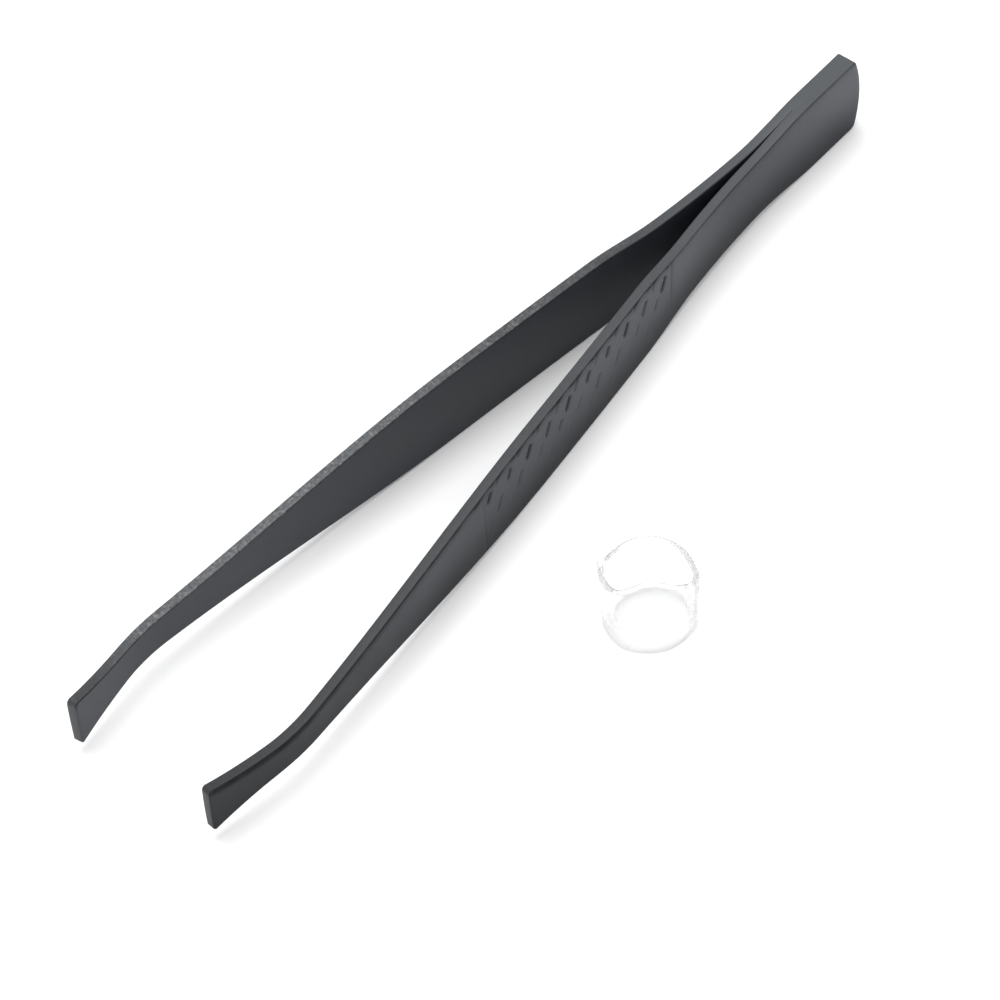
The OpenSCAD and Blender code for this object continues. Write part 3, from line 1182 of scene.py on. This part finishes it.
@dataclass(frozen=True)
class SharedEffects:
    """Node groups that more than one finish uses."""

    grain: bpy.types.NodeTree
    broken: bpy.types.NodeTree
    dust: bpy.types.NodeTree
    handling: bpy.types.NodeTree

    @classmethod
    def make(cls) -> "SharedEffects":
        """Builds the groups once."""
        return cls(cls.make_grain(), cls.make_broken(), cls.make_dust(), cls.make_handling())

    @staticmethod
    def make_grain(crystals: tuple[float, float] = (0.72, 0.95)) -> bpy.types.NodeTree:
        """Grain of a coat: a fine height, a tone that wanders slowly, and crystals whose glints are painted in as
        bright specks.

        Args:
            crystals: Cell values where a crystal starts and is full.

        Returns:
            The group's tree.
        """
        graph, entry = new_group("coat_grain", Fineness=7000.0, Wander=260.0)
        where = graph.place()
        fine = graph.noise(where, entry["Fineness"], detail=3.0, roughness=0.65)
        slow = graph.noise(where, entry["Wander"], detail=4.0, roughness=0.6)
        sparkle = graph.spread(graph.cells(where, entry["Fineness"])["Color"], *crystals)
        return graph.close({"Height": fine, "Tone": slow, "Sparkle": sparkle})

    @staticmethod
    def make_broken(
        pits: tuple[float, float] = (0.5, 0.34), bright: tuple[float, float] = (0.54, 0.7)
    ) -> bpy.types.NodeTree:
        """Broken grain of a sheared edge: dark pits, and bright patches between them that are painted glints.

        Args:
            pits: Noise values where a pit starts and is full.
            bright: The same for a painted glint patch.

        Returns:
            The group's tree.
        """
        graph, entry = new_group("broken_edge", Closeness=2900.0)
        rough = graph.noise(graph.place(), entry["Closeness"], detail=2.0, roughness=0.6)
        return graph.close({"Pits": graph.spread(rough, *pits), "Bright": graph.spread(rough, *bright)})

    @staticmethod
    def make_dust() -> bpy.types.NodeTree:
        """Specks of dust: the middles of a few far-apart cells.

        Returns:
            The group's tree.
        """
        graph, entry = new_group("dust_specks", Closeness=700.0, Speck=0.07, Rarity=0.9)
        cells = graph.cells(graph.place(), entry["Closeness"])
        near = graph.math("LESS_THAN", cells["Distance"], entry["Speck"])
        chosen = graph.math("GREATER_THAN", cells["Color"], entry["Rarity"])
        return graph.close({"Mask": graph.times(near, chosen)})

    @staticmethod
    def make_handling(
        drawn_out: float = 0.05, rubbed: tuple[float, float] = (0.56, 0.7), smeared: tuple[float, float] = (0.35, 0.7)
    ) -> bpy.types.NodeTree:
        """Marks of handling: fine hairline rubs that run along the piece, and soft smears.

        Args:
            drawn_out: How much the rubs' pattern is shrunk along X, which draws it out.
            rubbed: Noise values where a rub starts and is full.
            smeared: The same for a smear.

        Returns:
            The group's tree.
        """
        graph, entry = new_group("handling_marks", Rub=900.0, Smear=90.0)
        where = graph.place()
        drawn = graph.add("Mapping", {"Vector": where, "Scale": (drawn_out, 1.0, 1.0)}).outputs[0]
        rubs = graph.spread(graph.noise(drawn, entry["Rub"], detail=5.0, roughness=0.7), *rubbed)
        smears = graph.spread(graph.noise(where, entry["Smear"], detail=3.0, roughness=0.5), *smeared)
        return graph.close({"Rubs": rubs, "Smears": smears})


def start_material(name: str) -> tuple[bpy.types.Material, Graph, bpy.types.Node]:
    """A new node material with one Principled shader, and the graph to add to it.

    Args:
        name: Name of the material.

    Returns:
        The material, its graph and its shader node.
    """
    made = bpy.data.materials.new(name)
    made.use_nodes = True
    graph = Graph(made.node_tree)
    shader = next(n for n in made.node_tree.nodes if n.type == "BSDF_PRINCIPLED")
    return made, graph, shader


@dataclass(frozen=True)
class BlackCoat:
    """Matte black coat on steel, with greyer grainy sheared edges, painted glints on their bare grain, painted shade in
    the crease under the burr and in the stamped grooves, painted highlights on the stamped lips, and painted light and
    shade over the whole coat.
    """

    name: str
    effects: SharedEffects
    dark: tuple[float, float, float] = (0.019, 0.025, 0.0355)
    light: tuple[float, float, float] = (0.0275, 0.0345, 0.0465)
    edge: tuple[float, float, float] = (0.055, 0.061, 0.068)
    # Colour of the painted shade in the crease and in the stamped grooves.
    crease: tuple[float, float, float] = (0.004, 0.004, 0.005)
    pit: tuple[float, float, float] = (0.022, 0.024, 0.027)
    # Colour of the painted glints on the bare grain.
    sparkle: tuple[float, float, float] = (0.15, 0.15, 0.15)
    dust: tuple[float, float, float] = (0.3, 0.29, 0.27)
    tone_over: tuple[float, float] = (0.3, 0.7)
    rough_over: tuple[float, float] = (0.2, 0.8)
    rough: float = 0.5
    rough_wander: float = 0.06
    edge_rougher: float = 0.06
    smear_smoother: float = 0.05
    specular: float = 0.1
    gloss: float = 0.93
    crease_dulls: float = 0.88
    groove_dulls: float = 0.6
    grain_height: float = 0.000012
    bare_coarser: float = 3.0
    rub_share: float = 0.25
    pit_share: float = 0.85
    glint_share: float = 0.7
    # Shares of the painted highlight on the stamped lips and of the painted shade in the grooves.
    lip_share: float = 0.45
    groove_shade_share: float = 0.85
    crease_shade_share: float = 0.93
    masks: bool = True

    def marked(
        self, graph: Graph, grain: bpy.types.NodeOutputs, colour: Socket, rough: Socket
    ) -> tuple[Socket, Socket, Socket, Socket]:
        """Adds what the painted masks show to the plain coat.

        Args:
            graph: The material's graph.
            grain: Outputs of the grain effect.
            colour: Colour of the plain coat.
            rough: Roughness of the plain coat.

        Returns:
            Colour, roughness, height of the bumps, and weight of the gloss.
        """
        edge, crease, stamp = (graph.mask(mask) for mask in (Mask.EDGE, Mask.CREASE, Mask.STAMP))
        bare, coat = graph.mask(Mask.BARE), graph.mask(Mask.COAT)
        broken = graph.group(self.effects.broken)
        # Painted glints on the bare grain: bright crystals and patches. The pits are grain.
        crystals = graph.times(grain["Sparkle"], bare, self.glint_share)
        glints = graph.math("MAXIMUM", graph.times(broken["Bright"], bare), crystals)
        grey = graph.mix(graph.times(broken["Pits"], bare, self.pit_share), self.edge, self.pit)
        colour = graph.mix(edge, colour, graph.mix(glints, grey, self.sparkle))
        # Painted highlight on the stamped lips, and painted shade in the grooves, which also dulls their gloss.
        raised, sunk = graph.spread(stamp, PLAIN_TONE, 1.0), graph.spread(stamp, PLAIN_TONE, DEEPEST_TONE)
        colour = graph.mix(graph.times(raised, self.lip_share), colour, self.edge)
        colour = graph.mix(graph.times(sunk, self.groove_shade_share), colour, self.crease)
        # Painted shade in the crease under the burr, which also dulls the gloss there.
        colour = graph.mix(graph.times(crease, self.crease_shade_share), colour, self.crease)
        rough = graph.math("MULTIPLY_ADD", edge, self.edge_rougher, rough)
        bumps = graph.times(grain["Height"], graph.math("MULTIPLY_ADD", bare, self.bare_coarser, 1.0))
        dulled = graph.less(crease, self.crease_dulls), graph.less(sunk, self.groove_dulls)
        # The coat mask's painted light and shade scales the colour and the gloss.
        return graph.mix(coat, BLACK, colour), rough, bumps, graph.times(coat, self.gloss, *dulled)

    def build(self) -> bpy.types.Material:
        """Builds the material.

        Returns:
            The material.
        """
        made, graph, shader = start_material(self.name)
        grain = graph.group(self.effects.grain)
        dust = graph.group(self.effects.dust)["Mask"]
        marks = graph.group(self.effects.handling)
        colour = graph.mix(graph.spread(grain["Tone"], *self.tone_over), self.dark, self.light)
        colour = graph.mix(graph.times(marks["Rubs"], self.rub_share), colour, self.edge)
        smoother, rougher = self.rough - self.rough_wander, self.rough + self.rough_wander
        rough = graph.spread(grain["Tone"], *self.rough_over, smoother, rougher)
        bumps, gloss = grain["Height"], self.gloss
        if self.masks:
            colour, rough, bumps, gloss = self.marked(graph, grain, colour, rough)
        bump = graph.add("Bump", {"Height": bumps, "Distance": self.grain_height, "Strength": 1.0})
        looks = {
            "Base Color": graph.mix(dust, colour, self.dust),
            "Roughness": graph.math("MULTIPLY_ADD", marks["Smears"], -self.smear_smoother, rough),
            "Normal": bump.outputs[0],
            "Coat Weight": gloss,
            "Specular IOR Level": self.specular,
            "Coat Roughness": self.rough,
        }
        graph.fill(shader, looks)
        return made


@dataclass(frozen=True)
class ClearVinyl:
    """Clear soft plastic with faint draw marks, slight haze and a few specks."""

    name: str
    effects: SharedEffects
    clear: tuple[float, float, float] = (0.985, 0.99, 0.985)
    hazed: tuple[float, float, float] = (0.95, 0.955, 0.94)
    speck: tuple[float, float, float] = (0.35, 0.35, 0.33)
    cut: tuple[float, float, float] = (0.96, 0.965, 0.955)
    ior: float = 1.13
    rough_low: float = 0.14
    rough_high: float = 0.3
    wave_height: float = 0.00004
    wave_strength: float = 0.25
    haze_over: tuple[float, float] = (0.35, 0.7)
    haze_fineness: float = 2500.0
    haze_wander: float = 180.0
    speck_closeness: float = 300.0
    speck_rarity: float = 0.72
    smear_scale: float = 160.0

    def build(self) -> bpy.types.Material:
        """Builds the material.

        Returns:
            The material.
        """
        made, graph, shader = start_material(self.name)
        tone = graph.group(self.effects.grain, Fineness=self.haze_fineness, Wander=self.haze_wander)["Tone"]
        dust = graph.group(self.effects.dust, Closeness=self.speck_closeness, Rarity=self.speck_rarity)
        smears = graph.group(self.effects.handling, Smear=self.smear_scale)["Smears"]
        colour = graph.mix(graph.spread(tone, *self.haze_over), self.clear, self.hazed)
        colour = graph.mix(dust["Mask"], colour, self.speck)
        bump = graph.add("Bump", {"Height": tone, "Distance": self.wave_height, "Strength": self.wave_strength})
        looks = {
            "Base Color": graph.mix(graph.mask(Mask.CUT), colour, self.cut),
            "Roughness": graph.spread(smears, 0.0, 1.0, self.rough_low, self.rough_high),
            "Normal": bump.outputs[0],
            "Transmission Weight": 1.0,
            "IOR": self.ior,
        }
        graph.fill(shader, looks)
        return made


# ---------------------------------------------------------------------------------------------- studio


@dataclass
class Studio:
    """Plain pale floor, soft dome and overhead light, and the camera."""

    floor_size: float = 6.0
    floor_colour: tuple[float, float, float] = (0.93, 0.93, 0.935)
    floor_patches: float = 40.0
    floor_darker: float = 0.99
    floor_shade_over: tuple[float, float] = (0.3, 0.7)
    floor_rough: float = 0.9
    floor_specular: float = 0.1
    dome: float = 1.06
    key_power: float = 10.0
    key_size: float = 0.8
    key_at: tuple[float, float, float] = (-0.05, -0.25, 1.36)
    target: tuple[float, float, float] = (0.05377, 0.00533, 0.00325)
    azimuth: float = 44.702
    elevation: float = 50.232
    roll: float = -6.163
    distance: float = 0.6
    lens: float = 239.8
    sensor: float = 36.0
    clip: tuple[float, float] = (0.05, 20.0)

    def build(self) -> None:
        """Builds the floor, the lights and the camera."""
        self.build_floor()
        self.build_lights()
        self.build_camera()

    def build_floor(self) -> None:
        """A flat pale sheet at the table's height, slightly uneven in tone."""
        half = self.floor_size / 2.0
        mesh = bpy.data.meshes.new("floor")
        mesh.from_pydata([(-half, -half, 0), (half, -half, 0), (half, half, 0), (-half, half, 0)], [], [(0, 1, 2, 3)])
        floor = bpy.data.objects.new("floor", mesh)
        bpy.context.scene.collection.objects.link(floor)
        made, graph, shader = start_material("pale_paper")
        shade = graph.spread(graph.noise(graph.place(), self.floor_patches, detail=3.0), *self.floor_shade_over)
        darker = tuple(c * self.floor_darker for c in self.floor_colour)
        looks = {
            "Base Color": graph.mix(shade, self.floor_colour, darker),
            "Roughness": self.floor_rough,
            "Specular IOR Level": self.floor_specular,
        }
        graph.fill(shader, looks)
        floor.data.materials.append(made)

    def build_lights(self) -> None:
        """An even white dome, and one large soft panel up behind the right arm."""
        world = bpy.data.worlds.new("dome")
        world.use_nodes = True
        sky = next(n for n in world.node_tree.nodes if n.type == "BACKGROUND")
        sky.inputs["Color"].default_value = (1.0, 1.0, 1.0, 1.0)
        sky.inputs["Strength"].default_value = self.dome
        bpy.context.scene.world = world
        panel = bpy.data.lights.new("key_panel", "AREA")
        panel.energy, panel.size = self.key_power, self.key_size
        lamp = bpy.data.objects.new("key_panel", panel)
        lamp.location = Vector(self.key_at)
        lamp.rotation_euler = (Vector(self.target) - lamp.location).to_track_quat("-Z", "Y").to_euler()
        bpy.context.scene.collection.objects.link(lamp)

    def build_camera(self) -> None:
        """The camera, set back from its target along an azimuth from +X and an elevation, then rolled."""
        a, e, r = (math.radians(x) for x in (self.azimuth, self.elevation, self.roll))
        back = Vector((math.cos(e) * math.cos(a), math.cos(e) * math.sin(a), math.sin(e)))
        across = Vector((0.0, 0.0, 1.0)).cross(back).normalized()
        up = back.cross(across)
        right = across * math.cos(r) + up * math.sin(r)
        top = up * math.cos(r) - across * math.sin(r)
        data = bpy.data.cameras.new("camera")
        data.lens, data.sensor_width = self.lens, self.sensor
        data.clip_start, data.clip_end = self.clip
        camera = bpy.data.objects.new("camera", data)
        turn = Matrix((right, top, back)).transposed()
        camera.matrix_world = Matrix.Translation(Vector(self.target) + back * self.distance) @ turn.to_4x4()
        bpy.context.scene.collection.objects.link(camera)
        bpy.context.scene.camera = camera


def main() -> None:
    """Builds the studio and every piece, and dresses each in its finish."""
    logging.basicConfig(level=logging.INFO, format="%(name)s: %(message)s")
    view = bpy.context.scene.view_settings
    view.view_transform, view.look, view.exposure, view.gamma = "Standard", "None", 0.0, 1.0
    Studio().build()
    effects = SharedEffects.make()
    steel = BlackCoat("black_coat", effects).build()
    # The weld takes the edge's colour and gloss, darkened by the painted shade of the edge at the butt.
    shaded_weld_colour = tuple(PaintedShadingAndBareGrain.edge_at_butt * c for c in BlackCoat.edge)
    shaded_weld_gloss = PaintedShadingAndBareGrain.edge_at_butt * BlackCoat.gloss
    weld = BlackCoat("black_coat_weld", effects, shaded_weld_colour, shaded_weld_colour, gloss=shaded_weld_gloss, masks=False).build()
    vinyl = ClearVinyl("clear_soft_vinyl", effects).build()
    for sub, finish in ((Strip(Side.LEFT), steel), (Strip(Side.RIGHT), steel), (SeamWeld(), weld), (SoftRing(), vinyl)):
        piece = sub.build()
        piece.data.materials.append(finish)
        sub.attach(piece)
        LOG.info("%s: %d points, %d faces", piece.name, len(piece.data.vertices), len(piece.data.polygons))


if __name__ == "__main__":
    main()
